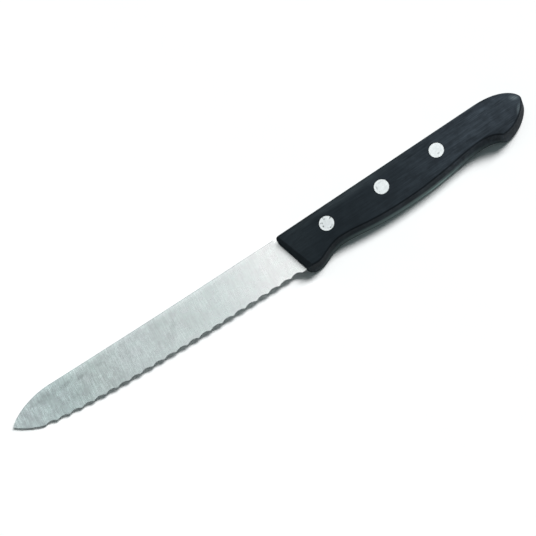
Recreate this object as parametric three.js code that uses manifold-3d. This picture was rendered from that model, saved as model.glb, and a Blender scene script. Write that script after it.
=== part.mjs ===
// Serrated bar knife with a riveted black handle, lying on its right side.
// Millimetres. The tip points to -X, the spine to +Y, and the table is the plane z = 0.
// The pieces are drawn from one datum: the upper front corner of the handle, before it is rounded.

import * as THREE from 'three';
import { mergeVertices } from 'three/addons/utils/BufferGeometryUtils.js';
import Module from 'manifold-3d';

const wasm = await Module();
wasm.setup();

// Blade, measured forward from the front of the handle. A run is a curved stretch of an outline:
// its two values are the shares of its length over which it keeps its first and last heading.
const bladeLength = 126.4;
const bladeHeight = 17.65;
const bladeThickness = 1.4;
const thicknessAtEdge = 0.5;
const spineStep = 1.05;
const spineFall = 1;
const spineHeading = 0.9;
const pointLength = 20.4;
const tipRise = 9.4;
const kneeLength = 11.8;
const kneeRise = 3.2;
const kneeHeading = -10.5;
const heelRise = 0.4;
const heelLand = 2.4;
const heelStep = 1.2;
const sweepLength = 76;
const tipEdgeHeading = -46;
const tipSpineHeading = -128;
const tipEdgeRun = [0.29, 0.22];
const sweepRun = [0.18, 0.46];
const spineRun = [0.35, 0.5];
const pointRun = [0.32, 0.27];

// Flat grind that runs out on a wheel before the handle
const runoutRadius = 25;

// Scallops, ground from the right side only, so the left face stays plain
const edgeAngle = 16;
const scallopPitch = 5.36;
const scallopDepth = 0.72;
const crestLand = 0.35;
const plainTip = 12.9;
const plainHeel = 1.5;

// Handle outline: distances behind the front corner and depths below its spine
const handleThickness = 11.5;
const handleLength = 111.7;
const crownStation = 94.5;
const crownRise = 2.5;
const frontSlant = 15.8;
const frontCornerRun = 2.2;
const frontDepth = 15.9;
const chinStation = 9.9;
const chinDrop = 2.1;
const hollowStation = 23.2;
const hollowDepth = 14.1;
const bellyStation = 48.2;
const bellyDepth = 15.8;
const hookBehindBelly = 40.6;
const hookDepth = 11.8;
const buttChinBehindHook = 9.4;
const buttChinDepth = 14.5;
const buttEndDepth = 4.9;
const chinRun = [0.4, 0.5];
const hollowRun = [0.22, 0.45];
const bellyRun = [0.28, 0.54];
const hookRun = [0.51, 0.22];
const buttChinRun = [0.73, 0.16];
const buttEndRun = [0.45, 0.15];
const crownRun = [0.12, 0.65];
const edgeRound = 0.9;
const frontChamferWidth = 1.35;
const frontChamferHeight = 1.6;
const frontChamferTurn = 2.5;

// Two-piece rivets: a studded head pressed into a sleeved head
const rivetStation = 20.5;
const rivetPitch = 25.9;
const rivetDepth = 7.05;
const rivetNames = ['front', 'middle', 'rear'];
const headDiameter = 6.3;
const headThickness = 1.3;
const headChamfer = 0.15;
const sleeveDiameter = 4.2;
const shankDiameter = 2.7;
const sleeveFloor = 0.4;

// Tang, flush with the spine of the handle and hidden from below
const tangBehindRivets = 12.3;
const tangBelowRivets = 4.55;
const tangEndRadius = 4;

// Clearances between pieces
const shoulderGap = 0.1;
const tangGap = 0.1;
const rivetGap = 0.08;
const shankGap = 0.06;
const shankEndGap = 0.3;

// Fineness of the round stretches
const curveSteps = 14;
const roundSteps = 4;
const scallopSteps = 10;
const turnSteps = 40;

// How far a cutting body reaches past what it cuts
const overcut = 5;

const steel = { color: 0xc4c8c5, roughness: 0.36, metalness: 1 };
const blackWood = { color: 0x24282d, roughness: 0.55, metalness: 0 };
const rivetMetal = { color: 0xe4e7e6, roughness: 0.3, metalness: 1 };

const radians = THREE.MathUtils.degToRad;
const midHeight = handleThickness / 2;
const edgeLevel = spineStep - bladeHeight;
const chinDepth = frontDepth + chinDrop;
const hookStation = bellyStation + hookBehindBelly;
const buttChinStation = hookStation + buttChinBehindHook;
const tangLength = rivetStation + (rivetNames.length - 1) * rivetPitch + tangBehindRivets;
const tangWidth = rivetDepth + tangBelowRivets;
const spineAngle = Math.atan(crownRise / crownStation);
const taperAngle = Math.atan((bladeThickness - thicknessAtEdge) / 2 / bladeHeight);

// A point on an outline and the way the outline heads there, in degrees.
function station(x, y, heading) {
  return { x, y, heading };
}

// A smooth run between two stations.
function runTo(path, from, to, [fromFullness, toFullness]) {
  const span = Math.hypot(to.x - from.x, to.y - from.y);
  const leave = radians(from.heading);
  const arrive = radians(to.heading);
  path.bezierCurveTo(
    from.x + span * fromFullness * Math.cos(leave),
    from.y + span * fromFullness * Math.sin(leave),
    to.x - span * toFullness * Math.cos(arrive),
    to.y - span * toFullness * Math.sin(arrive),
    to.x,
    to.y,
  );
}

// A point given by its distance along the handle's spine and its depth below it.
function belowSpine(distance, depth) {
  return new THREE.Vector2(
    distance * Math.cos(spineAngle) + depth * Math.sin(spineAngle),
    distance * Math.sin(spineAngle) - depth * Math.cos(spineAngle),
  );
}

// Where the slanted front of the handle lies at a height y, set ahead by a gap.
function frontAt(y, gap = 0) {
  return -y * Math.tan(radians(frontSlant)) - gap / Math.cos(radians(frontSlant));
}

// A closed three.js geometry as a solid for cutting and joining.
function solidOf(geometry) {
  const bare = geometry.index ? geometry.toNonIndexed() : geometry.clone();
  bare.deleteAttribute('normal');
  bare.deleteAttribute('uv');
  const welded = mergeVertices(bare);
  const triVerts = new Uint32Array(welded.index.array);
  const vertProperties = new Float32Array(welded.attributes.position.array);
  return new wasm.Manifold(new wasm.Mesh({ numProp: 3, vertProperties, triVerts }));
}

function meshOf(name, solid, finish) {
  const { vertProperties, triVerts } = solid.getMesh();
  const geometry = new THREE.BufferGeometry();
  geometry.setAttribute('position', new THREE.BufferAttribute(vertProperties, 3));
  geometry.setIndex(new THREE.BufferAttribute(triVerts, 1));
  geometry.computeVertexNormals();
  return nameMesh(name, geometry, finish);
}

function nameMesh(name, geometry, finish) {
  const mesh = new THREE.Mesh(geometry, new THREE.MeshStandardMaterial(finish));
  mesh.name = name;
  return mesh;
}

// A plate of even thickness with its underside at the given height.
function plate(shape, bottom, thickness) {
  const geometry = new THREE.ExtrudeGeometry(shape, {
    depth: thickness,
    bevelEnabled: false,
    curveSegments: curveSteps,
  });
  return geometry.translate(0, 0, bottom);
}

// A round bar that stands on the plan point and spans the given heights.
function uprightBar(point, diameter, bottom, top) {
  const bar = new THREE.CylinderGeometry(diameter / 2, diameter / 2, top - bottom, turnSteps);
  return bar.rotateX(Math.PI / 2).translate(point.x, point.y, (top + bottom) / 2);
}

function rivetPoints() {
  return rivetNames.map((name, index) => belowSpine(rivetStation + index * rivetPitch, rivetDepth));
}

const tip = { x: -bladeLength, y: edgeLevel + tipRise };
const heel = { x: frontAt(edgeLevel, shoulderGap), y: edgeLevel };

// The sharpened side from the tip to the heel, before the scallops are ground. It rises a little
// towards the heel, which keeps the full width of the strip.
function drawEdge(path) {
  const knee = station(tip.x + kneeLength, edgeLevel + kneeRise, kneeHeading);
  const straightStart = station(knee.x + sweepLength, edgeLevel, 0);
  runTo(path, station(tip.x, tip.y, tipEdgeHeading), knee, tipEdgeRun);
  runTo(path, knee, straightStart, sweepRun);
  path.lineTo(heel.x - heelLand - heelStep, edgeLevel + heelRise);
  path.lineTo(heel.x - heelLand, heel.y);
  path.lineTo(heel.x, heel.y);
}

// The tang's lower side and end, from the front of the handle to its spine. A margin makes
// the same outline serve for the pocket that holds it.
function drawTang(path, margin) {
  const depth = tangWidth + margin;
  const end = tangLength + margin;
  const radius = tangEndRadius + margin;
  const cornerStart = belowSpine(end - radius, depth);
  const cornerCentre = belowSpine(end - radius, depth - radius);
  const upperEnd = belowSpine(end, 0);
  path.lineTo(cornerStart.x, cornerStart.y);
  path.absarc(cornerCentre.x, cornerCentre.y, radius, spineAngle - Math.PI / 2, spineAngle, false);
  path.lineTo(upperEnd.x, upperEnd.y);
}

// Where a line at a depth below the handle's spine comes out of the slanted front.
function tangShoulder(depth, gap) {
  const slope = Math.tan(spineAngle);
  const slant = radians(frontSlant);
  const drop = depth / Math.cos(spineAngle) + slope * gap / Math.cos(slant);
  const y = -drop / (1 + slope * Math.tan(slant));
  return new THREE.Vector2(frontAt(y, gap), y);
}

function bladeOutline() {
  const shape = new THREE.Shape();
  const lowerShoulder = tangShoulder(tangWidth, shoulderGap);
  const upperShoulder = tangShoulder(0, shoulderGap);
  const spineStart = station(frontAt(spineStep, shoulderGap), spineStep, 180 + spineHeading);
  const pointStart = station(tip.x + pointLength, spineStep - spineFall, 180);
  shape.moveTo(tip.x, tip.y);
  drawEdge(shape);
  shape.lineTo(lowerShoulder.x, lowerShoulder.y);
  drawTang(shape, 0);
  shape.lineTo(upperShoulder.x, upperShoulder.y);
  shape.lineTo(spineStart.x, spineStart.y);
  runTo(shape, spineStart, pointStart, spineRun);
  runTo(shape, pointStart, station(tip.x, tip.y, tipSpineHeading), pointRun);
  return shape;
}

// The plane of the ground left face: it falls from the spine towards the edge.
function toLeftFace(geometry) {
  return geometry.rotateX(taperAngle).translate(0, spineStep, midHeight + bladeThickness / 2);
}

// What the wheel takes off one face. Side is 1 for the left face and -1 for the right one.
function grind(side) {
  const depth = (bladeThickness - thicknessAtEdge) / 2;
  const sweep = Math.acos(1 - 2 * depth / runoutRadius);
  const start = heel.x - runoutRadius * Math.sin(Math.acos(1 - depth / runoutRadius));
  const wheel = new THREE.Path();
  wheel.absarc(start, runoutRadius, runoutRadius, -Math.PI / 2, sweep - Math.PI / 2, false);
  const track = wheel.getPoints(curveSteps);
  const profile = [
    new THREE.Vector2(tip.x - overcut, 0),
    ...track,
    new THREE.Vector2(track.at(-1).x, overcut),
    new THREE.Vector2(tip.x - overcut, overcut),
  ];
  const shape = new THREE.Shape(profile.map((point) => new THREE.Vector2(point.x, side * point.y)));
  const geometry = new THREE.ExtrudeGeometry(shape, {
    depth: bladeHeight + 2 * overcut,
    bevelEnabled: false,
  });
  geometry.rotateX(Math.PI / 2).translate(0, overcut, 0);
  geometry.rotateX(side * taperAngle);
  geometry.translate(0, spineStep, midHeight + side * bladeThickness / 2);
  return solidOf(geometry);
}

// All that lies above the sharpened edge: its lower rim slopes in from the left face, so that
// the part it shares with the blade has a one-sided bevel.
function insideEdge() {
  const bevelDrop = bladeThickness;
  const bevelReach = bevelDrop / Math.tan(radians(edgeAngle));
  const reach = bladeLength;
  const lead = radians(tipEdgeHeading);
  const shape = new THREE.Shape();
  shape.moveTo(tip.x - reach * Math.cos(lead), tip.y - spineStep - reach * Math.sin(lead));
  shape.lineTo(tip.x, tip.y - spineStep);
  const edge = new THREE.Path();
  edge.moveTo(tip.x, tip.y);
  drawEdge(edge);
  for (const point of edge.getPoints(curveSteps).slice(1)) {
    shape.lineTo(point.x, point.y - spineStep);
  }
  shape.lineTo(heel.x + reach, heel.y - spineStep);
  shape.lineTo(heel.x + reach, reach);
  const geometry = new THREE.ExtrudeGeometry(shape, {
    depth: bladeThickness,
    bevelThickness: bevelDrop,
    bevelSize: bevelReach,
    bevelOffset: -bevelReach,
    bevelSegments: 1,
  });
  return solidOf(toLeftFace(geometry));
}

// One round-nosed cut for each scallop, side by side along the edge, sloping up from the right.
function scallops() {
  const slope = radians(edgeAngle);
  const chord = scallopPitch - crestLand;
  const sagitta = scallopDepth * Math.sin(slope);
  const radius = (chord * chord / 4 + sagitta * sagitta) / (2 * sagitta);
  const half = Math.asin(chord / 2 / radius);
  const nose = new THREE.Shape();
  nose.moveTo(-chord / 2, -overcut);
  nose.lineTo(chord / 2, -overcut);
  nose.absarc(0, sagitta - radius, radius, Math.PI / 2 - half, Math.PI / 2 + half, false);
  const edge = new THREE.Path();
  edge.moveTo(tip.x, tip.y);
  drawEdge(edge);
  const length = edge.getLength();
  const count = Math.floor((length - plainTip - plainHeel) / scallopPitch);
  const cuts = [];
  for (let index = 0; index < count; index += 1) {
    const share = (plainTip + (index + 0.5) * scallopPitch) / length;
    const at = edge.getPointAt(share);
    const along = edge.getTangentAt(share);
    const tangent = new THREE.Vector3(along.x, along.y, 0);
    const inward = new THREE.Vector3(-along.y, along.x, 0);
    const upward = inward.clone().multiplyScalar(Math.sin(slope)).setZ(Math.cos(slope));
    const axis = tangent.clone().cross(upward);
    const apex = new THREE.Vector3(at.x, at.y - spineStep, 0).addScaledVector(inward, scallopDepth);
    const place = new THREE.Matrix4().makeBasis(tangent, upward, axis);
    place.setPosition(apex.addScaledVector(upward, -sagitta));
    const geometry = new THREE.ExtrudeGeometry(nose, {
      depth: 2 * overcut,
      bevelEnabled: false,
      curveSegments: scallopSteps,
    });
    cuts.push(toLeftFace(geometry.translate(0, 0, -overcut).applyMatrix4(place)));
  }
  return cuts.map(solidOf);
}

function makeBlade() {
  let body = solidOf(plate(bladeOutline(), midHeight - bladeThickness / 2, bladeThickness));
  body = body.subtract(grind(1)).subtract(grind(-1)).intersect(insideEdge());
  for (const cut of scallops()) {
    body = body.subtract(cut);
  }
  for (const point of rivetPoints()) {
    const bore = uprightBar(point, sleeveDiameter + 2 * rivetGap, 0, handleThickness);
    body = body.subtract(solidOf(bore));
  }
  return meshOf('blade', body, steel);
}

function handleOutline() {
  const front = station(frontAt(-frontDepth), -frontDepth, frontSlant - 90);
  const chin = station(chinStation, -chinDepth, 0);
  const hollow = station(hollowStation, -hollowDepth, 0);
  const belly = station(bellyStation, -bellyDepth, 0);
  const hook = station(hookStation, -hookDepth, 0);
  const buttChin = station(buttChinStation, -buttChinDepth, 0);
  const buttEnd = station(handleLength, -buttEndDepth, 90);
  const crown = station(crownStation, crownRise, 180 + THREE.MathUtils.radToDeg(spineAngle));
  const corner = belowSpine(frontCornerRun, 0);
  const shape = new THREE.Shape();
  shape.moveTo(corner.x, corner.y);
  shape.quadraticCurveTo(0, 0, frontAt(-frontCornerRun), -frontCornerRun);
  shape.lineTo(front.x, front.y);
  runTo(shape, front, chin, chinRun);
  runTo(shape, chin, hollow, hollowRun);
  runTo(shape, hollow, belly, bellyRun);
  runTo(shape, belly, hook, hookRun);
  runTo(shape, hook, buttChin, buttChinRun);
  runTo(shape, buttChin, buttEnd, buttEndRun);
  runTo(shape, buttEnd, crown, crownRun);
  return shape;
}

// Both halves are shaped together as one rounded block.
function handleBlock() {
  const geometry = new THREE.ExtrudeGeometry(handleOutline(), {
    depth: handleThickness - 2 * edgeRound,
    bevelThickness: edgeRound,
    bevelSize: edgeRound,
    bevelOffset: -edgeRound,
    bevelSegments: roundSteps,
    curveSegments: curveSteps,
  });
  return solidOf(geometry.translate(0, 0, edgeRound));
}

// The half of space on one side of the knife's middle plane.
function halfSpace(side) {
  const size = 2 * (bladeLength + handleLength);
  return solidOf(new THREE.BoxGeometry(size, size, size).translate(0, 0, midHeight + side * size / 2));
}

// The wedge that breaks the front edge of one outer face. It is turned a little, so that the
// chamfer widens from the spine to the chin.
function frontChamfer(side) {
  const slant = radians(frontSlant + frontChamferTurn);
  const rise = overcut * frontChamferHeight / frontChamferWidth;
  const top = handleThickness / 2;
  const profile = [
    new THREE.Vector2(-overcut, top - frontChamferHeight - rise),
    new THREE.Vector2(frontChamferWidth + overcut, top + rise),
    new THREE.Vector2(-overcut, top + rise),
  ];
  const shape = new THREE.Shape(profile.map((point) => new THREE.Vector2(point.x, side * point.y)));
  const geometry = new THREE.ExtrudeGeometry(shape, {
    depth: chinDepth + 4 * overcut,
    bevelEnabled: false,
  });
  const inward = new THREE.Vector3(Math.cos(slant), Math.sin(slant), 0);
  const upward = new THREE.Vector3(0, 0, 1);
  const place = new THREE.Matrix4().makeBasis(inward, upward, inward.clone().cross(upward));
  geometry.translate(0, 0, -2 * overcut).applyMatrix4(place);
  return solidOf(geometry.translate(0, 0, midHeight));
}

// The slot for the tang, open at the front and along the spine.
function tangPocket() {
  const shape = new THREE.Shape();
  const mouth = belowSpine(-overcut, tangWidth + tangGap);
  const above = belowSpine(tangLength + tangGap, -overcut);
  const ahead = belowSpine(-overcut, -overcut);
  shape.moveTo(mouth.x, mouth.y);
  drawTang(shape, tangGap);
  shape.lineTo(above.x, above.y);
  shape.lineTo(ahead.x, ahead.y);
  const thickness = bladeThickness + 2 * tangGap;
  return solidOf(plate(shape, midHeight - thickness / 2, thickness));
}

function makeScale(name, side) {
  let body = handleBlock().intersect(halfSpace(side));
  body = body.subtract(frontChamfer(side)).subtract(tangPocket());
  const outer = midHeight + side * midHeight;
  const seat = outer - side * headThickness;
  const beyond = outer + side * overcut;
  for (const point of rivetPoints()) {
    const bore = uprightBar(point, sleeveDiameter + 2 * rivetGap, 0, handleThickness);
    const recess = uprightBar(
      point,
      headDiameter + 2 * rivetGap,
      Math.min(seat, beyond),
      Math.max(seat, beyond),
    );
    body = body.subtract(solidOf(bore)).subtract(solidOf(recess));
  }
  return meshOf(name, body, blackWood);
}

// A turned piece from a half profile of radius and height, set upright on the plan point.
function turned(name, profile, point) {
  const geometry = new THREE.LatheGeometry(profile.map(([r, z]) => new THREE.Vector2(r, z)), turnSteps);
  return nameMesh(name, geometry.rotateX(Math.PI / 2).translate(point.x, point.y, 0), rivetMetal);
}

function makeStud(name, point) {
  const head = headDiameter / 2;
  const shank = shankDiameter / 2;
  const under = handleThickness - headThickness;
  const end = headThickness + sleeveFloor + shankEndGap;
  const profile = [
    [0, end],
    [shank, end],
    [shank, under],
    [head, under],
    [head, handleThickness - headChamfer],
    [head - headChamfer, handleThickness],
    [0, handleThickness],
  ];
  return turned(name, profile, point);
}

function makeSleeve(name, point) {
  const head = headDiameter / 2;
  const sleeve = sleeveDiameter / 2;
  const bore = shankDiameter / 2 + shankGap;
  const rim = handleThickness - headThickness - shankEndGap;
  const floor = headThickness + sleeveFloor;
  const profile = [
    [0, 0],
    [head - headChamfer, 0],
    [head, headChamfer],
    [head, headThickness],
    [sleeve, headThickness],
    [sleeve, rim],
    [bore, rim],
    [bore, floor],
    [0, floor],
  ];
  return turned(name, profile, point);
}

const knife = new THREE.Group();
knife.add(makeBlade(), makeScale('left_scale', 1), makeScale('right_scale', -1));
rivetPoints().forEach((point, index) => {
  knife.add(makeStud(`${rivetNames[index]}_rivet_stud`, point));
  knife.add(makeSleeve(`${rivetNames[index]}_rivet_sleeve`, point));
});

// The origin is the middle of the knife's length and width, on the table.
const extent = new THREE.Box3().setFromObject(knife);
const middle = extent.getCenter(new THREE.Vector3());
knife.position.set(-middle.x, -middle.y, -extent.min.z);

export default knife;
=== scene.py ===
# %% [markdown]
# # A serrated bar knife
#
# This lesson dresses a knife that is already built to size. The frame holds its nine pieces as
# bare facets: a blade with its hidden tang, two handle halves and three rivets of two pieces each.
# Here each piece gets the surface that the real one has, and the scene a camera, a table and light.
# Lengths are metres, because the frame's are. Small sizes are written as so many millimetres.

# %% Load the frame
import math
import random

import bmesh
import bpy
from mathutils import Matrix, Vector


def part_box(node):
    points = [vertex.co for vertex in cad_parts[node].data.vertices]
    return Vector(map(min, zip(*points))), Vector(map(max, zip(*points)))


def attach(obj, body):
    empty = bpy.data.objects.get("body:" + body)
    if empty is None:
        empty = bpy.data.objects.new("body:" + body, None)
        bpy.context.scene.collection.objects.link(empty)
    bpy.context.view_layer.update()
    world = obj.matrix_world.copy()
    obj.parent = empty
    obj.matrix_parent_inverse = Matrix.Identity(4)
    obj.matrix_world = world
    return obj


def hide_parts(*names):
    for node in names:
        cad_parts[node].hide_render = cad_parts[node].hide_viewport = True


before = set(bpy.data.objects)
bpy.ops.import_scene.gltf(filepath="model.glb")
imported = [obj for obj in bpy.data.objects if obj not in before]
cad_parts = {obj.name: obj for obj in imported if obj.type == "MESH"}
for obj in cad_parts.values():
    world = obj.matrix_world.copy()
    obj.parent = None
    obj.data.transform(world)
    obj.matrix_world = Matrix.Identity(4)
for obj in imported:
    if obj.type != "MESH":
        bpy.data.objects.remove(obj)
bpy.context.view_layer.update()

MM = 0.001

# %% [markdown]
# ## Camera
#
# The photo was taken from the side of the cutting edge, looking steeply down. How steeply is read
# from the rivet heads, which are circles that look like ellipses, and the roll of the camera from
# the slope of the spine in the picture. The ellipses are all alike, so the lens is a long one and
# far away. We choose the lens and work out the distance from the width of table it shows.

# %% Camera
ELEVATION = math.radians(72.7)
ROLL = math.radians(32.26)
LENS = 250.0
SENSOR = 36.0
VIEW_WIDTH = 211.2 * MM
LOOK_AT = Vector((-0.8, 0.34, 5.75)) * MM

forward = Vector((0, math.cos(ELEVATION), -math.sin(ELEVATION)))
level_right = Vector((1, 0, 0))
level_up = level_right.cross(forward)
right = level_right * math.cos(ROLL) - level_up * math.sin(ROLL)
up = level_right * math.sin(ROLL) + level_up * math.cos(ROLL)

lens = bpy.data.cameras.new("camera")
lens.lens = LENS
lens.sensor_width = SENSOR
camera = bpy.data.objects.new("camera", lens)
bpy.context.collection.objects.link(camera)
distance = VIEW_WIDTH * LENS / SENSOR
turn = Matrix((right, up, -forward)).transposed().to_4x4()
camera.matrix_world = Matrix.Translation(LOOK_AT - forward * distance) @ turn
bpy.context.scene.camera = camera
bpy.context.scene.view_settings.view_transform = "Standard"
print("camera:", round(distance, 3), "m from the knife")

# %% [markdown]
# ## Nodes in few words
#
# A material is a small graph. Building one node takes several lines of Python, so these helpers
# keep the recipes below short: `place` adds a node, `feed` links a socket or writes a plain value
# on it, and the others wrap the nodes that are used again and again.

# %% Node helpers
def place(tree, kind, **settings):
    made = tree.nodes.new("ShaderNode" + kind)
    for name, value in settings.items():
        setattr(made, name, value)
    return made


def feed(tree, socket, source):
    if isinstance(source, bpy.types.NodeSocket):
        tree.links.new(source, socket)
    else:
        socket.default_value = source


def maths(tree, operation, first, second=0.0):
    made = place(tree, "Math", operation=operation)
    feed(tree, made.inputs[0], first)
    feed(tree, made.inputs[1], second)
    return made.outputs[0]


def product(tree, first, *others):
    for other in others:
        first = maths(tree, "MULTIPLY", first, other)
    return first


def spread(tree, value, low, high, to_low=0.0, to_high=1.0):
    made = place(tree, "MapRange", interpolation_type="SMOOTHSTEP")
    for name, source in zip(("Value", "From Min", "From Max", "To Min", "To Max"),
                            (value, low, high, to_low, to_high)):
        feed(tree, made.inputs[name], source)
    return made.outputs["Result"]


def blend(tree, mode, share, first, second):
    made = place(tree, "Mix", data_type="RGBA", blend_type=mode)
    factor, below, above = made.inputs[0], made.inputs[6], made.inputs[7]
    feed(tree, factor, share)
    feed(tree, below, first)
    feed(tree, above, second)
    return made.outputs[2]


def split(tree, vector):
    made = place(tree, "SeparateXYZ")
    feed(tree, made.inputs[0], vector)
    return made.outputs


print("node helpers: ready")

# %% [markdown]
# A node group is a graph of its own with named sockets, and a material is a graph that ends in a
# shader. `new_group` and `new_material` start one of each, and `use` puts a group into a graph.

# %% Starting groups and materials
def new_group(name, inputs, output):
    group = bpy.data.node_groups.new(name, "ShaderNodeTree")
    for label, kind in inputs.items():
        group.interface.new_socket(name=label, in_out="INPUT", socket_type="NodeSocket" + kind)
    group.interface.new_socket(name=output, in_out="OUTPUT", socket_type="NodeSocketFloat")
    entry = group.nodes.new("NodeGroupInput")
    leave = group.nodes.new("NodeGroupOutput")
    return group, entry.outputs, leave.inputs[output]


def new_material(name):
    material = bpy.data.materials.new(name)
    material.use_nodes = True
    tree = material.node_tree
    return material, tree, tree.nodes["Principled BSDF"]


def use(tree, group, **values):
    made = place(tree, "Group", node_tree=group)
    for name, source in values.items():
        feed(tree, made.inputs[name], source)
    return made.outputs[0]


print("groups and materials: ready")

# %% [markdown]
# ## Effects that several finishes share
#
# Belt-ground steel, sanded wood and a filed rivet all show long fine lines, cloudy patches and tiny
# pits. They could be painted three times over, but a node group is built once and placed in each
# finish with its own sizes. All these groups read a place in millimetres, so a size written there
# is a real one.
#
# Lines are noise that is stretched: it changes quickly across the line and slowly along it. Raw
# noise is mostly middling grey, so `sharpened` pulls its values apart around one half.

# %% Group for drawn lines
def sharpened(tree, noise, contrast):
    half = maths(tree, "DIVIDE", 0.5, contrast)
    return spread(tree, noise, maths(tree, "SUBTRACT", 0.5, half), maths(tree, "ADD", 0.5, half))


def drawn_lines_group():
    sizes = {"Place": "Vector", "Across": "Float", "Along": "Float", "Contrast": "Float"}
    group, given, lines = new_group("drawn lines", sizes, "Lines")
    parts = split(group, given["Place"])
    stretched = place(group, "CombineXYZ")
    for axis, size in zip("XYZ", ("Across", "Along", "Along")):
        feed(group, stretched.inputs[axis], maths(group, "DIVIDE", parts[axis], given[size]))
    noise = place(group, "TexNoise")
    feed(group, noise.inputs["Vector"], stretched.outputs[0])
    feed(group, noise.inputs["Scale"], 1.0)
    feed(group, noise.inputs["Detail"], 3.0)
    feed(group, lines, sharpened(group, noise.outputs["Fac"], given["Contrast"]))
    return group


drawn_lines = drawn_lines_group()
print("group:", drawn_lines.name)

# %% [markdown]
# Patches are soft noise at one size. Handled steel stains unevenly, and oil soaks into wood in
# clouds, so the same recipe serves both with another size.

# %% Group for cloudy patches
def cloudy_patches_group():
    sizes = {"Place": "Vector", "Size": "Float", "Contrast": "Float"}
    group, given, patches = new_group("cloudy patches", sizes, "Patches")
    noise = place(group, "TexNoise")
    feed(group, noise.inputs["Vector"], given["Place"])
    feed(group, noise.inputs["Scale"], maths(group, "DIVIDE", 1.0, given["Size"]))
    feed(group, noise.inputs["Detail"], 4.0)
    feed(group, noise.inputs["Roughness"], 0.62)
    feed(group, patches, sharpened(group, noise.outputs["Fac"], given["Contrast"]))
    return group


cloudy_patches = cloudy_patches_group()
print("group:", cloudy_patches.name)

# %% [markdown]
# Pits are dots in the cells of a Voronoi pattern. Each cell also has a colour of its own that is as
# good as a die: only the cells that roll below the chance get their dot, so the pits lie scattered.

# %% Group for pits
def pits_group():
    sizes = {"Place": "Vector", "Spacing": "Float", "Size": "Float", "Chance": "Float"}
    group, given, scattered = new_group("pits", sizes, "Pits")
    cells = place(group, "TexVoronoi")
    feed(group, cells.inputs["Vector"], given["Place"])
    feed(group, cells.inputs["Scale"], maths(group, "DIVIDE", 1.0, given["Spacing"]))
    reach = maths(group, "DIVIDE", given["Size"], given["Spacing"])
    dots = spread(group, cells.outputs["Distance"], 0.0, reach, 1.0, 0.0)
    roll = place(group, "SeparateColor")
    feed(group, roll.inputs[0], cells.outputs["Color"])
    lucky = maths(group, "LESS_THAN", roll.outputs[0], given["Chance"])
    feed(group, scattered, maths(group, "MULTIPLY", dots, lucky))
    return group


pits = pits_group()
print("group:", pits.name)

# %% [markdown]
# The last group is a soft oval at a chosen place. Stains on the blade and rubbed spots on the
# handle sit where use has put them, and noise alone can't be told where that is. The same ovals also
# place painted shade and painted highlights.

# %% Group for a soft oval
def soft_oval_group():
    sizes = {"Place": "Vector", "X": "Float", "Y": "Float",
             "Long": "Float", "Wide": "Float", "Turn": "Float"}
    group, given, oval = new_group("soft oval", sizes, "Oval")
    parts = split(group, given["Place"])
    aside = maths(group, "SUBTRACT", parts["X"], given["X"])
    above = maths(group, "SUBTRACT", parts["Y"], given["Y"])
    cosine = maths(group, "COSINE", given["Turn"])
    sine = maths(group, "SINE", given["Turn"])
    along = maths(group, "ADD", maths(group, "MULTIPLY", aside, cosine),
                  maths(group, "MULTIPLY", above, sine))
    across = maths(group, "SUBTRACT", maths(group, "MULTIPLY", above, cosine),
                   maths(group, "MULTIPLY", aside, sine))
    long_way = maths(group, "POWER", maths(group, "DIVIDE", along, given["Long"]), 2.0)
    wide_way = maths(group, "POWER", maths(group, "DIVIDE", across, given["Wide"]), 2.0)
    away = maths(group, "SQRT", maths(group, "ADD", long_way, wide_way))
    feed(group, oval, spread(group, away, 0.0, 1.0, 1.0, 0.0))
    return group


soft_oval = soft_oval_group()
print("group:", soft_oval.name)

# %% [markdown]
# ## Reading a place and laying on layers
#
# A finish is painted by place. `millimetres` reads the place on the piece, `turned` turns it so
# that lines can lean, `along_x` says how far along the knife it is, and `ramp` picks a colour by
# such a number. The pieces all sit at the frame's origin, so the places are the frame's own.

# %% Places
def millimetres(tree):
    where = place(tree, "TexCoord")
    scaled = place(tree, "VectorMath", operation="SCALE")
    feed(tree, scaled.inputs[0], where.outputs["Object"])
    feed(tree, scaled.inputs["Scale"], 1 / MM)
    return scaled.outputs[0]


def turned(tree, vector, angle):
    made = place(tree, "Mapping")
    feed(tree, made.inputs["Vector"], vector)
    feed(tree, made.inputs["Rotation"], (0.0, 0.0, angle))
    return made.outputs[0]


def along_x(tree, vector, low, high):
    made = place(tree, "MapRange")
    for name, source in zip(("Value", "From Min", "From Max"), (split(tree, vector)["X"], low, high)):
        feed(tree, made.inputs[name], source)
    return made.outputs["Result"]


def ramp(tree, value, *stops):
    made = place(tree, "ValToRGB")
    colours = made.color_ramp.elements
    while len(colours) < len(stops):
        colours.new(0.5)
    for element, (position, colour) in zip(colours, stops):
        element.position = position
        element.color = (*colour, 1.0)
    feed(tree, made.inputs[0], value)
    return made.outputs[0]


print("places: ready")

# %% [markdown]
# Layers go over a colour one by one. `layered` darkens and lightens it by masks, each between a
# low and a high factor. The next helper does so by ovals, each with its place, half length, half
# width, turn and depth, where a depth below 0 makes it paler; these ovals hold real stains as well as
# painted shade and painted highlights. `pitted` sets dots of grime, and `bumped` tilts the surface
# where a height changes, so that scratches also catch the light.

# %% Layers
def layered(tree, share, colour, *layers):
    for mask, low, high in layers:
        colour = blend(tree, "MULTIPLY", share, colour, spread(tree, mask, 0.0, 1.0, low, high))
    return colour


# Lays ovals that are real stains and also painted shade and painted highlights.
def stains_and_shading(tree, spot, colour, ovals):
    for x, y, long, wide, turn, depth in ovals:
        oval = use(tree, soft_oval, Place=spot, X=x, Y=y, Long=long, Wide=wide, Turn=turn)
        colour = layered(tree, 1.0, colour, (oval, 1.0, 1.0 - depth))
    return colour


def pitted(tree, spot, colour, grime, share, **sizes):
    dots = use(tree, pits, Place=spot, **sizes)
    return blend(tree, "MIX", maths(tree, "MULTIPLY", dots, share), colour, grime)


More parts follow.
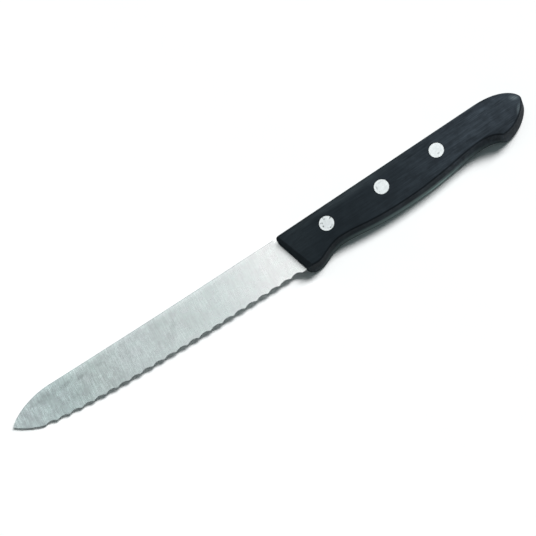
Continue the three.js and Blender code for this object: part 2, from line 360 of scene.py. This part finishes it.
def bumped(tree, shader, height, strength, depth):
    bump = place(tree, "Bump")
    for name, source in zip(("Strength", "Distance", "Height"), (strength, depth, height)):
        feed(tree, bump.inputs[name], source)
    feed(tree, shader.inputs["Normal"], bump.outputs[0])


print("layers: ready")

# %% [markdown]
# ## Steel
#
# The blade is stainless strip that was ground across its width on a belt, so fine lines run from
# spine to edge. A belt is never quite square to its work, so they lean a little. Years of lemons
# and dishwater have left a grey-green bloom that is strongest in the front third, and it is almost
# gone near the handle, where fingers polish the steel. The same ramp is also a painted highlight:
# it makes the steel paler towards the heel.
#
# The bloom is a colour ramp along the blade. It could be a picture of a real blade, but a ramp and
# noise stay sharp at any distance and need no file. Over it lie the darker stains, placed one by one,
# and a painted highlight: a pale band along the spine.

# %% Steel for the blade
BELT_LEAN = math.radians(4)
BLADE_ENDS = (-119.0, 8.0)
# Bloom and painted highlight in one ramp: greener at the tip, painted paler towards the heel.
BLOOM_AND_HEEL_LIGHT = ((0.064, (0.471, 0.529, 0.532)), (0.188, (0.407, 0.47, 0.468)),
         (0.312, (0.445, 0.493, 0.486)), (0.436, (0.483, 0.524, 0.524)),
         (0.622, (0.52, 0.558, 0.553)), (0.746, (0.551, 0.588, 0.584)),
         (0.871, (0.643, 0.656, 0.654)), (0.933, (0.696, 0.696, 0.692)))
CLEAN_TINT = (1.0, 0.985, 0.995, 1.0)
GREEN_TINT = (0.965, 1.0, 0.985, 1.0)
STEEL_GRIME = (0.20, 0.22, 0.21, 1.0)
STAINS = ((-96.0, 4.0, 22.0, 2.3, 0.02, 0.08), (-86.0, 3.5, 4.2, 1.6, 0.1, 0.22),
          (-107.2, 3.8, 4.6, 1.1, 0.0, 0.16), (-112.4, 2.7, 2.8, 2.6, 0.3, 0.12),
          (-92.4, 4.0, 3.6, 1.4, 0.3, 0.14), (-77.4, 3.6, 3.2, 1.6, 0.0, 0.11),
          (-72.3, 4.0, 3.0, 1.6, 0.0, 0.07), (-92.0, -2.6, 6.0, 3.0, 0.0, 0.08),
          (-43.9, 1.4, 4.0, 2.2, 0.4, 0.12), (-49.8, 4.1, 3.2, 1.6, 0.0, 0.08),
          (-48.5, -3.0, 7.0, 3.2, 0.5, 0.10), (-62.4, 3.0, 4.5, 3.0, 0.0, 0.09))
# Painted highlight: pale ovals along the spine.
SPINE_HIGHLIGHT = ((-92.0, 8.2, 38.0, 4.0, 0.0, -0.26), (-45.0, 8.6, 75.0, 3.8, 0.013, -0.22))


def blade_steel():
    material, tree, shader = new_material("belt-ground steel")
    spot = millimetres(tree)
    along = along_x(tree, spot, *BLADE_ENDS)
    leaning = turned(tree, spot, BELT_LEAN)
    fine = use(tree, drawn_lines, Place=leaning, Across=0.42, Along=5.0, Contrast=2.0)
    broad = use(tree, drawn_lines, Place=leaning, Across=1.1, Along=16.0, Contrast=1.5)
    clouds = use(tree, cloudy_patches, Place=spot, Size=8.0, Contrast=1.7)
    blotches = use(tree, cloudy_patches, Place=spot, Size=2.4, Contrast=1.9)
    freckles = use(tree, cloudy_patches, Place=spot, Size=0.9, Contrast=1.9)
    tint = blend(tree, "MIX", blotches, CLEAN_TINT, GREEN_TINT)
    colour = blend(tree, "MULTIPLY", 1.0, ramp(tree, along, *BLOOM_AND_HEEL_LIGHT), tint)
    colour = stains_and_shading(tree, spot, colour, STAINS + SPINE_HIGHLIGHT)
    unpolished = spread(tree, along, 0.15, 0.9, 1.0, 0.3)
    colour = layered(tree, unpolished, colour, (clouds, 0.90, 1.10), (blotches, 0.935, 1.065),
                     (freckles, 0.935, 1.065), (fine, 0.89, 1.11), (broad, 0.955, 1.045))
    colour = pitted(tree, spot, colour, STEEL_GRIME, 0.35, Spacing=2.6, Size=0.22, Chance=0.3)
    feed(tree, shader.inputs["Base Color"], colour)
    feed(tree, shader.inputs["Metallic"], 1.0)
    feed(tree, shader.inputs["Roughness"], spread(tree, clouds, 0.0, 1.0, 0.29, 0.26))
    lines = maths(tree, "ADD", fine, maths(tree, "MULTIPLY", broad, 0.5))
    bumped(tree, shader, lines, 0.05, 0.004 * MM)
    return material


blade_finish = blade_steel()
print("material:", blade_finish.name, "with", len(blade_finish.node_tree.nodes), "nodes")

# %% [markdown]
# The scallops were cut last, by a wheel pressed against the hidden side. Steel from the wheel is
# bare and bright, and its lines follow the wheel's turning, so it is a finish of its own.

# %% Steel for the scallops
BARE_STEEL = (0.66, 0.68, 0.67, 1.0)


def scallop_steel():
    material, tree, shader = new_material("wheel-cut steel")
    spot = millimetres(tree)
    fine = use(tree, drawn_lines, Place=spot, Across=0.12, Along=3.0, Contrast=1.6)
    clouds = use(tree, cloudy_patches, Place=spot, Size=2.5, Contrast=1.4)
    colour = layered(tree, 1.0, BARE_STEEL, (fine, 0.88, 1.1), (clouds, 0.92, 1.05))
    feed(tree, shader.inputs["Base Color"], colour)
    feed(tree, shader.inputs["Metallic"], 1.0)
    feed(tree, shader.inputs["Roughness"], spread(tree, fine, 0.0, 1.0, 0.36, 0.24))
    bumped(tree, shader, fine, 0.3, 0.004 * MM)
    return material


scallop_finish = scallop_steel()
print("material:", scallop_finish.name, "with", len(scallop_finish.node_tree.nodes), "nodes")

# %% [markdown]
# ## Black wood
#
# The handle halves are hardwood, dyed black and pressed with resin, then sanded along the grain.
# Such a surface is dull: resin fills the pores but the sanding breaks the gloss. A hand rubs the
# butt most, so the wood greys towards it, and the worn grain stands out more there.
#
# The finish is painted in three steps. First comes the wood itself, with lines along the handle
# that follow the grain's slight slope.

# %% Grain of the wood
HANDLE_ENDS = (20.0, 118.0)
FRESH_BLACK = (0.0135, 0.0185, 0.0225, 1.0)
WORN_BLACK = (0.034, 0.043, 0.053, 1.0)


def grained(tree, spot, fine, broad, clouds):
    rubbing = spread(tree, along_x(tree, spot, *HANDLE_ENDS), 0.0, 1.0)
    black = blend(tree, "MIX", rubbing, FRESH_BLACK, WORN_BLACK)
    open_grain = spread(tree, rubbing, 0.0, 1.0, 0.45, 1.0)
    return layered(tree, open_grain, black, (fine, 0.74, 1.28), (broad, 0.82, 1.2), (clouds, 0.8, 1.22))


print("wood: greys from", HANDLE_ENDS[0], "to", HANDLE_ENDS[1], "mm")

# %% [markdown]
# Then come places on the broad side: grey where the butt's corners, the spine and the front were
# rubbed, and a painted shade, a dark stretch along the belly's border by the hook. The grey is broken
# by the fine lines, because rubbing bares the ridges of the grain first. A rubbed place is written
# like a stain, with its share of grey in place of the depth.

# %% Rubbed and greasy places
RUBBED = ((116.6, 3.9, 2.9, 1.6, -0.62, 1.0), (115.7, -1.0, 3.6, 0.95, 0.89, 0.75),
          (41.0, 7.0, 42.0, 2.5, 0.03, 0.17), (15.0, 1.5, 9.0, 12.0, 0.0, 0.045))
# Painted shade: a dark stretch along the belly's border by the hook.
BELLY_SHADE = ((96.0, -6.0, 26.0, 3.4, 0.12, 0.55),)
BARED_WOOD = (0.15, 0.185, 0.20, 1.0)
LEAST_BARED = 0.35


def rubbed(tree, spot, black, fine):
    # This oval is painted shade; the rubbed places below are wear.
    black = stains_and_shading(tree, spot, black, BELLY_SHADE)
    for x, y, long, wide, turn, share in RUBBED:
        oval = use(tree, soft_oval, Place=spot, X=x, Y=y, Long=long, Wide=wide, Turn=turn)
        ridges = spread(tree, fine, 0.0, 1.0, LEAST_BARED * share, share)
        black = blend(tree, "MIX", maths(tree, "MULTIPLY", oval, ridges), black, BARED_WOOD)
    return black


# The greasy one counted here is the painted shade by the hook.
print("wood:", len(RUBBED), "rubbed places,", len(BELLY_SHADE), "greasy one")

# %% [markdown]
# Last come the narrow faces, which are told apart by the way they face. Low on the belly's wall a
# pale teal band is a painted reflection of the paper beside it, with a brighter painted glint in it.
# The butt's wall is darkened as painted shade, and the rounding between wall and broad side on the
# belly gets a dark line of painted shade. The slope at the front is painted a little paler, as painted
# light. An oval on the wall is written as its place along the knife, its height, half length, half
# width and share.

# %% Narrow faces of the wood
# Painted reflection of the paper low on the belly's wall: a broad pale teal band, then a narrow bright
# painted glint.
WALL_REFLECTIONS = ((60.0, 2.2, 56.0, 5.8, 0.43), (74.0, 2.1, 13.0, 1.4, 0.85))
REFLECTION_FADE = (4.2, 7.0)
BUTT_SHADE_FADE = (104.0, 110.0)
BUTT_SHADE_SHARE = 0.5
EDGE_SHADE_SHARE = 0.6
FRONT_LIGHT_SHARE = 0.25
REFLECTED_PAPER = (0.30, 0.41, 0.395, 1.0)
BUTT_SHADE = (0.005, 0.006, 0.007, 1.0)
EDGE_SHADE = (0.004, 0.005, 0.006, 1.0)
FRONT_LIGHT = (0.045, 0.055, 0.06, 1.0)


def narrow_faces(tree, spot, black):
    parts = split(tree, spot)
    facing = split(tree, place(tree, "NewGeometry").outputs["Normal"])
    flatness = maths(tree, "ABSOLUTE", facing["Z"])
    upright = spread(tree, flatness, 0.3, 0.7, 1.0, 0.0)
    belly = spread(tree, facing["Y"], -0.1, 0.3, 1.0, 0.0)
    reflecting_wall = product(tree, upright, spread(tree, parts["Z"], *REFLECTION_FADE, 1.0, 0.0), belly)
    wall = place(tree, "CombineXYZ")
    feed(tree, wall.inputs["X"], parts["X"])
    feed(tree, wall.inputs["Y"], parts["Z"])
    # Paint the reflection of the paper and the glint onto the low belly wall.
    for x, z, long, wide, share in WALL_REFLECTIONS:
        oval = use(tree, soft_oval, Place=wall.outputs[0], X=x, Y=z, Long=long, Wide=wide, Turn=0.0)
        black = blend(tree, "MIX", product(tree, oval, reflecting_wall, share), black, REFLECTED_PAPER)
    # Painted shade: the walls darken towards the butt end.
    butt = spread(tree, parts["X"], *BUTT_SHADE_FADE, 0.0, BUTT_SHADE_SHARE)
    black = blend(tree, "MIX", product(tree, upright, butt), black, BUTT_SHADE)
    # Painted shade: a dark line on the rounding between wall and broad side, on the belly side.
    off_wall = spread(tree, flatness, 0.3, 0.55)
    off_side = spread(tree, flatness, 0.85, 0.98, 1.0, 0.0)
    off_front = spread(tree, facing["X"], -0.65, -0.35)
    rounding = product(tree, off_wall, off_side, off_front, belly, EDGE_SHADE_SHARE)
    black = blend(tree, "MIX", rounding, black, EDGE_SHADE)
    # Painted light: the slope at the front, turned away from the lamps, is painted paler.
    front = spread(tree, facing["X"], -0.65, -0.4, FRONT_LIGHT_SHARE, 0.0)
    return blend(tree, "MIX", front, black, FRONT_LIGHT)


# The places counted here are the painted reflection and the painted glint on the wall.
print("wood:", len(WALL_REFLECTIONS), "bare places on the wall")

# %% [markdown]
# The three steps make the colour. Scattered pale dots are pores that lost their dye. The sanding
# lines also tilt the surface, and a low specular level keeps it dull.

# %% Black wood
GRAIN_SLOPE = math.radians(1.5)
PALE_PORE = (0.06, 0.066, 0.07, 1.0)


def black_wood():
    material, tree, shader = new_material("black wood")
    spot = millimetres(tree)
    lengthwise = turned(tree, spot, math.radians(90) - GRAIN_SLOPE)
    fine = use(tree, drawn_lines, Place=lengthwise, Across=0.18, Along=6.0, Contrast=1.8)
    broad = use(tree, drawn_lines, Place=lengthwise, Across=0.9, Along=30.0, Contrast=1.6)
    clouds = use(tree, cloudy_patches, Place=spot, Size=5.0, Contrast=1.8)
    black = grained(tree, spot, fine, broad, clouds)
    black = rubbed(tree, spot, black, fine)
    black = narrow_faces(tree, spot, black)
    black = pitted(tree, spot, black, PALE_PORE, 0.5, Spacing=1.7, Size=0.16, Chance=0.28)
    feed(tree, shader.inputs["Base Color"], black)
    feed(tree, shader.inputs["Roughness"], spread(tree, clouds, 0.0, 1.0, 0.62, 0.54))
    feed(tree, shader.inputs["Specular IOR Level"], 0.02)
    lines = maths(tree, "ADD", fine, maths(tree, "MULTIPLY", broad, 0.6))
    bumped(tree, shader, lines, 0.35, 0.02 * MM)
    return material


wood_finish = black_wood()
print("material:", wood_finish.name, "with", len(wood_finish.node_tree.nodes), "nodes")

# %% [markdown]
# ## Rivet metal
#
# The rivets are soft aluminium, pressed in proud and then filed and sanded flush with the wood. The
# file leaves fine scratches, and knocks in the drawer leave nicks. The nicks themselves are shaped in
# the mesh further on. Grime settles in them, so the mesh carries a number for each point, named
# mark, and the material darkens where it is high.

# %% Rivet metal
FILE_TURN = math.radians(58)
FILED_METAL = (0.575, 0.605, 0.61, 1.0)
NICK_GRIME = (0.06, 0.07, 0.07, 1.0)


def rivet_metal():
    material, tree, shader = new_material("rivet metal")
    spot = millimetres(tree)
    filed = turned(tree, spot, FILE_TURN)
    fine = use(tree, drawn_lines, Place=filed, Across=0.12, Along=2.4, Contrast=1.5)
    clouds = use(tree, cloudy_patches, Place=spot, Size=1.3, Contrast=1.6)
    colour = layered(tree, 1.0, FILED_METAL, (fine, 0.93, 1.05), (clouds, 0.92, 1.06))
    mark = place(tree, "Attribute", attribute_name="mark")
    colour = blend(tree, "MIX", mark.outputs["Fac"], colour, NICK_GRIME)
    feed(tree, shader.inputs["Base Color"], colour)
    feed(tree, shader.inputs["Metallic"], 1.0)
    feed(tree, shader.inputs["Roughness"], spread(tree, clouds, 0.0, 1.0, 0.36, 0.31))
    bumped(tree, shader, fine, 0.25, 0.004 * MM)
    return material


rivet_finish = rivet_metal()
print("material:", rivet_finish.name, "with", len(rivet_finish.node_tree.nodes), "nodes")

# %% [markdown]
# ## From facets to pieces
#
# The frame's meshes are loose triangles: each has corners of its own, so nothing can be rounded or
# shaded smoothly. A copy of the triangles is welded at its corners, and triangles that lie in one
# plane become one face again. The frame's own mesh stays as it is.
#
# `show` then makes a piece of such a copy. Edges sharper than the crease stay crisp, and the others
# shade smoothly.

# %% Welding and showing
WELD = 0.001 * MM
FLAT = math.radians(0.1)


def welded(node):
    shape = bmesh.new()
    shape.from_mesh(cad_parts[node].data)
    bmesh.ops.remove_doubles(shape, verts=shape.verts, dist=WELD)
    bmesh.ops.dissolve_degenerate(shape, edges=shape.edges, dist=WELD)
    bmesh.ops.dissolve_limit(shape, verts=shape.verts, edges=shape.edges, angle_limit=FLAT)
    return shape


def show(shape, name, node, slot, crease, *finishes):
    for face in shape.faces:
        face.smooth = True
    for edge in shape.edges:
        edge.smooth = edge.calc_face_angle(0.0) < crease
    mesh = bpy.data.meshes.new(name)
    shape.to_mesh(mesh)
    shape.free()
    for finish in finishes:
        mesh.materials.append(finish)
    piece = bpy.data.objects.new(name, mesh)
    bpy.context.collection.objects.link(piece)
    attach(piece, "root")
    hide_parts(node)
    evened = piece.modifiers.new("even shading", "WEIGHTED_NORMAL")
    evened.keep_sharp = True
    print("piece:", name, "for", node, "with", len(mesh.polygons), "faces")
    return piece


print("welding: corners within", round(WELD / MM, 4), "mm become one")

# %% [markdown]
# ## Blade
#
# Both sides of the blade were ground thin towards the edge. In the frame each ground face runs out
# beside the handle: it curves up in narrow strips to the full thickness of the tang. In the photo the
# ground face stays flat up to the wood, and a strip with the slightest tilt would mirror the dark
# side of the room. So the strips' corners are pressed into the plane of the ground face, which is the
# largest face on its side. Bent faces that this leaves are split into flat ones.

# %% Ground faces laid flat
BROAD_SIDE = 0.9
RUNOUT_TILTS = (-0.25, -0.01)


def lay_flat(shape, side):
    facets = [face for face in shape.faces if face.normal.z * side > BROAD_SIDE]
    ground = max(facets, key=lambda face: face.calc_area())
    plane, centre = ground.normal.copy(), ground.calc_center_median()
    steepest, gentlest = RUNOUT_TILTS
    runout = [face for face in facets if steepest < face.normal.x < gentlest]
    for corner in {corner for face in runout for corner in face.verts}:
        corner.co.z -= max(0.0, (corner.co - centre).dot(plane)) / plane.z
    return len(runout)


blade_shape = welded("blade")
blade_shape.normal_update()
laid = [lay_flat(blade_shape, side) for side in (1, -1)]
print("run-out:", laid, "strips laid flat on the two sides")
bmesh.ops.connect_verts_nonplanar(blade_shape, angle_limit=FLAT, faces=blade_shape.faces)
blade_shape.normal_update()

# %% [markdown]
# The strip was stamped out, and the stamped corners along the spine were broken on a belt so that
# they don't bite the hand. That narrow slope catches the light as a pale line along the spine. The
# spine's edges are found by their faces: one is a side of the blade, and the other faces up the
# picture. The scallops' faces are found by their tilt, and get the steel of the wheel.

# %% Blade
SPINE_BREAK = 0.2 * MM
PLAIN_TIP = 3.0 * MM
SIDE_TILT = 0.95
RIM_UP = 0.25
RIM_TILT = 0.3
SCALLOP_TILTS = (-0.99, -0.90)
BLADE_CREASE = math.radians(8)
handle_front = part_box("left_scale")[0].x
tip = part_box("blade")[0].x


def is_spine(edge):
    first, last = sorted(corner.co.x for corner in edge.verts)
    if first < tip + PLAIN_TIP or last > handle_front:
        return False
    side, rim = sorted(edge.link_faces, key=lambda face: -abs(face.normal.z))
    faces_up = rim.normal.y > RIM_UP and abs(rim.normal.z) < RIM_TILT
    return abs(side.normal.z) > SIDE_TILT and faces_up


spine = [edge for edge in blade_shape.edges if is_spine(edge)]
print("spine:", len(spine), "edges broken by", round(SPINE_BREAK / MM, 2), "mm")
bmesh.ops.bevel(blade_shape, geom=spine, offset=SPINE_BREAK, segments=3, profile=0.5, affect="EDGES")
blade_shape.normal_update()
for face in blade_shape.faces:
    face.material_index = 1 if SCALLOP_TILTS[0] < face.normal.z < SCALLOP_TILTS[1] else 0
show(blade_shape, "blade_ground", "blade", "steel", BLADE_CREASE, blade_finish, scallop_finish)

# %% [markdown]
# ## Handle halves
#
# The two halves were routed to one outline and sanded as a pair after riveting. Their long edges
# are already rounded in the frame. What the sanding adds is softer borders on the sloped cut at
# the front. Left crisp, they would look machined.

# %% Handle halves
BORDER_ROUND = 0.3 * MM
LONG_BORDER = 2.0 * MM
SLOPE_FORWARD = -0.5
SLOPE_TILTS = (0.4, 0.9)
WOOD_CREASE = math.radians(30)


def is_slope(face):
    return face.normal.x < SLOPE_FORWARD and SLOPE_TILTS[0] < abs(face.normal.z) < SLOPE_TILTS[1]


def is_border(edge):
    slopes = [is_slope(face) for face in edge.link_faces]
    return slopes.count(True) == 1 and edge.calc_length() > LONG_BORDER


for side in ("left", "right"):
    shape = welded(side + "_scale")
    shape.normal_update()
    borders = [edge for edge in shape.edges if is_border(edge)]
    print(side, "borders:", [round(edge.calc_length() / MM, 1) for edge in borders], "mm")
    bmesh.ops.bevel(shape, geom=borders, offset=BORDER_ROUND, segments=3, profile=0.5, affect="EDGES")
    show(shape, side + "_scale_sanded", side + "_scale", "black_wood", WOOD_CREASE, wood_finish)

# %% [markdown]
# ## Rivets
#
# Each rivet is a stud and a sleeve that were pressed into each other. Both were turned on a lathe,
# so their shape is a half profile spun round an axis. We read that profile back from the frame's
# corners and spin it again with more steps, and with rings across the head that shows, because a
# nick needs points to be pressed into.

# %% Half profile of a turned piece
STEP = 0.005 * MM


def half_profile(node):
    low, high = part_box(node)
    axis = (low + high) / 2
    shape = welded(node)

    def key(corner):
        out = math.hypot(corner.co.x - axis.x, corner.co.y - axis.y)
        return round(out / STEP), round(corner.co.z / STEP)

    linked = {}
    for edge in shape.edges:
        first, second = (key(corner) for corner in edge.verts)
        if first != second:
            linked.setdefault(first, set()).add(second)
            linked.setdefault(second, set()).add(first)
    shape.free()
    ends = sorted(point for point, others in linked.items() if len(others) == 1)
    walk = [ends[-1]]
    while len(walk) < len(linked):
        walk.append(next(point for point in linked[walk[-1]] if point not in walk))
    return axis, [(out * STEP, level * STEP) for out, level in walk]


for node in ("middle_rivet_stud", "middle_rivet_sleeve"):
    print(node, [(round(out / MM, 2), round(level / MM, 2)) for out, level in half_profile(node)[1]])

# %% [markdown]
# A nick is written as its place on the head, its half length and half width, the way it points and
# its depth, in millimetres. The deepest nick wins where two meet. Each point also gets a mark, from 0
# at a nick's rim to 1 at the bottom of a deep one. A shallow nick holds less grime, so it stays paler.

# %% Nicks
FULL_MARK = 0.03


def mark_at(nicks, x, y):
    deepest, dent = 0.0, 0.0
    for across, up_the_head, long, wide, turn, depth in nicks:
        aside, above = x - across * MM, y - up_the_head * MM
        along = (aside * math.cos(turn) + above * math.sin(turn)) / (long * MM)
        over = (above * math.cos(turn) - aside * math.sin(turn)) / (wide * MM)
        share = max(0.0, 1.0 - along * along - over * over)
        if share > 0.0:
            deepest = max(deepest, share * min(1.0, depth / FULL_MARK))
            dent = max(dent, share * share * depth * MM)
    return deepest, dent


print("nicks: fully dark from", FULL_MARK, "mm deep")

# %% [markdown]
# Spinning the profile makes one loop of points for each of its corners. Faces join each loop to
# the next, and a fan of triangles closes each end. Only points on the face of the head are dented.

# %% Turning a rivet
TURN_STEPS = 96
HEAD_RINGS = 28
RIVET_CREASE = math.radians(30)


def turn_rivet(name, node, nicks):
    axis, profile = half_profile(node)
    rim, face_level = profile[0]
    inward = math.copysign(1.0, profile[1][1] - face_level)
    rings = [(rim * ring / HEAD_RINGS, face_level) for ring in range(1, HEAD_RINGS)] + profile
    shape = bmesh.new()
    layer = shape.verts.layers.float.new("mark")

    def corner(x, y, level):
        mark, dent = mark_at(nicks, x, y) if level == face_level else (0.0, 0.0)
        made = shape.verts.new((axis.x + x, axis.y + y, level + inward * dent))
        made[layer] = mark
        return made

    angles = [2 * math.pi * step / TURN_STEPS for step in range(TURN_STEPS)]
    loops = [[corner(out * math.cos(a), out * math.sin(a), level) for a in angles]
             for out, level in rings]
    first, last = corner(0.0, 0.0, face_level), corner(0.0, 0.0, profile[-1][1])
    for step in range(TURN_STEPS):
        after = (step + 1) % TURN_STEPS
        shape.faces.new((first, loops[0][step], loops[0][after]))
        shape.faces.new((last, loops[-1][after], loops[-1][step]))
        for inner, outer in zip(loops, loops[1:]):
            shape.faces.new((inner[step], outer[step], outer[after], inner[after]))
    bmesh.ops.recalc_face_normals(shape, faces=shape.faces)
    return show(shape, name, node, "rivet_metal", RIVET_CREASE, rivet_finish)


print("rivets: turned in", TURN_STEPS, "steps, with", HEAD_RINGS, "rings on the head")

# %% [markdown]
# The photo shows the heads of the studs, so their nicks are listed one by one: a scratch from the
# rim and six pits on the front rivet, faint smudges on all three, and a film of grime on the front and
# the rear one, written as a wide nick of almost no depth. The sleeves' heads are underneath, where
# nobody sees them, so their nicks are rolled with a die that always falls the same way.

# %% Rivets
FRONT_NICKS = ((0.0, 0.0, 2.5, 2.5, 0.0, 0.002), (2.3, 1.3, 1.0, 0.26, 0.55, 0.05),
               (0.45, -2.23, 0.42, 0.34, 0.0, 0.035), (-1.78, -0.37, 0.5, 0.36, 0.6, 0.03),
               (-1.5, 0.97, 0.38, 0.5, 0.0, 0.022), (-2.07, 1.19, 0.4, 0.36, 1.2, 0.018),
               (0.0, 2.0, 0.4, 0.36, 0.0, 0.02), (-0.27, 2.8, 0.4, 0.3, 0.2, 0.02),
               (1.35, -1.7, 0.8, 0.3, 0.75, 0.009), (-0.5, -1.75, 0.4, 0.5, 0.0, 0.008))
MIDDLE_NICKS = ((-1.94, 0.6, 1.0, 0.42, 1.45, 0.012), (-1.8, -1.3, 0.4, 0.4, 0.0, 0.006),
                (0.2, 1.9, 1.3, 0.4, 0.1, 0.005))
REAR_NICKS = ((-0.1, -1.47, 0.75, 0.36, 0.1, 0.015), (1.4, -0.9, 0.9, 0.5, 0.9, 0.004),
              (0.0, 0.0, 2.9, 2.9, 0.0, 0.002))
HIDDEN_NICKS = 5

die = random.Random(7)
for place_name, nicks in (("front", FRONT_NICKS), ("middle", MIDDLE_NICKS), ("rear", REAR_NICKS)):
    turn_rivet(place_name + "_stud_ground", place_name + "_rivet_stud", nicks)
    rolled = [(die.uniform(-2, 2), die.uniform(-2, 2), die.uniform(0.15, 0.6), die.uniform(0.12, 0.25),
               die.uniform(0, math.pi), die.uniform(0.02, 0.04)) for nick in range(HIDDEN_NICKS)]
    turn_rivet(place_name + "_sleeve_ground", place_name + "_rivet_sleeve", rolled)

# %% [markdown]
# ## Table
#
# The knife lies on white paper, and only its handle rests on it: the blade stands clear, in the
# middle of the handle's thickness. A shadow is narrower the nearer it falls, and the photo's shadow
# narrows from the heel to the tip, so the paper has curled up under the blade, and it sags a little
# under the butt. A flat table would be simpler, but its shadow would be twice as wide. The sheet is a
# row of strips whose height follows a few points along the knife. The strips lie at the slant of the
# handle's front, which holds the paper down.

# %% Table
TABLE_SIZE = 6.0
STRIPS = 120
SHEET = ((118.0, -1.4), (92.0, -1.1), (48.0, 0.0), (11.6, 0.0),
         (1.0, 2.0), (-80.0, 3.0), (-103.0, 4.0), (-119.0, 4.9))
SLANT = math.tan(math.radians(15.8))
PAPER = (1.0, 1.0, 1.0, 1.0)


def table_white():
    material, tree, shader = new_material("white table")
    fibres = use(tree, cloudy_patches, Place=millimetres(tree), Size=30.0, Contrast=1.2)
    feed(tree, shader.inputs["Base Color"], layered(tree, 1.0, PAPER, (fibres, 0.995, 1.0)))
    feed(tree, shader.inputs["Roughness"], 0.9)
    feed(tree, shader.inputs["Specular IOR Level"], 0.0)
    return material


def sheet_height(x):
    for (near, low), (far, high) in zip(SHEET, SHEET[1:]):
        share = (near - x) / (near - far)
        if share < 1.0:
            return low + (high - low) * share * share * (3 - 2 * share)
    return high


start, stop = SHEET[0][0], SHEET[-1][0]
across = [start + (stop - start) * step / STRIPS for step in range(STRIPS + 1)]
rows = [(x * MM, sheet_height(x) * MM) for x in across]
rows = [(TABLE_SIZE / 2, rows[0][1]), *rows, (-TABLE_SIZE / 2, rows[-1][1])]
corners = [(x - side * SLANT, side, height)
           for x, height in rows for side in (TABLE_SIZE / 2, -TABLE_SIZE / 2)]
strips = [(2 * i, 2 * i + 2, 2 * i + 3, 2 * i + 1) for i in range(len(rows) - 1)]
sheet = bpy.data.meshes.new("table")
sheet.from_pydata(corners, [], strips)
sheet.materials.append(table_white())
for face in sheet.polygons:
    face.use_smooth = True
table = bpy.data.objects.new("table", sheet)
bpy.context.collection.objects.link(table)
print("table:", TABLE_SIZE, "m wide, lifted by", SHEET[-1][1], "mm at the tip")

# %% [markdown]
# ## Light
#
# The hook's shadow points to a lamp that hangs towards the butt and a little towards the spine. Along
# the knife the shadows are smeared, across it they are fairly crisp, so the lamp is a long one, like a
# tube. A row of three suns with wide discs stands in for it: their light is even over the whole
# table, which a lamp close by can't do. A fourth, weak and wide, stands almost overhead, where the
# blade mirrors it into the camera: flat steel is only as bright as what it mirrors. The rest of the
# room is dim and a little green. A lamp is written as its lean to the butt and to the spine, its
# power and its width in degrees.

# %% Light
LAMPS = ((0.05, 0.30, 0.167, 26.0), (0.42, 0.20, 1.10, 16.0),
         (0.70, 0.20, 1.10, 16.0), (0.98, 0.20, 1.10, 16.0))
ROOM = (0.105, 0.135, 0.138)

for number, (to_butt, to_spine, power, width) in enumerate(LAMPS):
    disc = bpy.data.lights.new("lamp", "SUN")
    disc.energy = power
    disc.angle = math.radians(width)
    lamp = bpy.data.objects.new("lamp", disc)
    to_lamp = Vector((to_butt, to_spine, 1.0))
    lamp.rotation_mode = "QUATERNION"
    lamp.rotation_quaternion = to_lamp.to_track_quat("Z", "Y")
    bpy.context.collection.objects.link(lamp)
    print("lamp", number, "stands", round(math.degrees(math.atan(to_butt))), "degrees towards the butt")

room = bpy.data.worlds.new("room")
room.use_nodes = True
room.node_tree.nodes["Background"].inputs["Color"].default_value = (*ROOM, 1.0)
bpy.context.scene.world = room
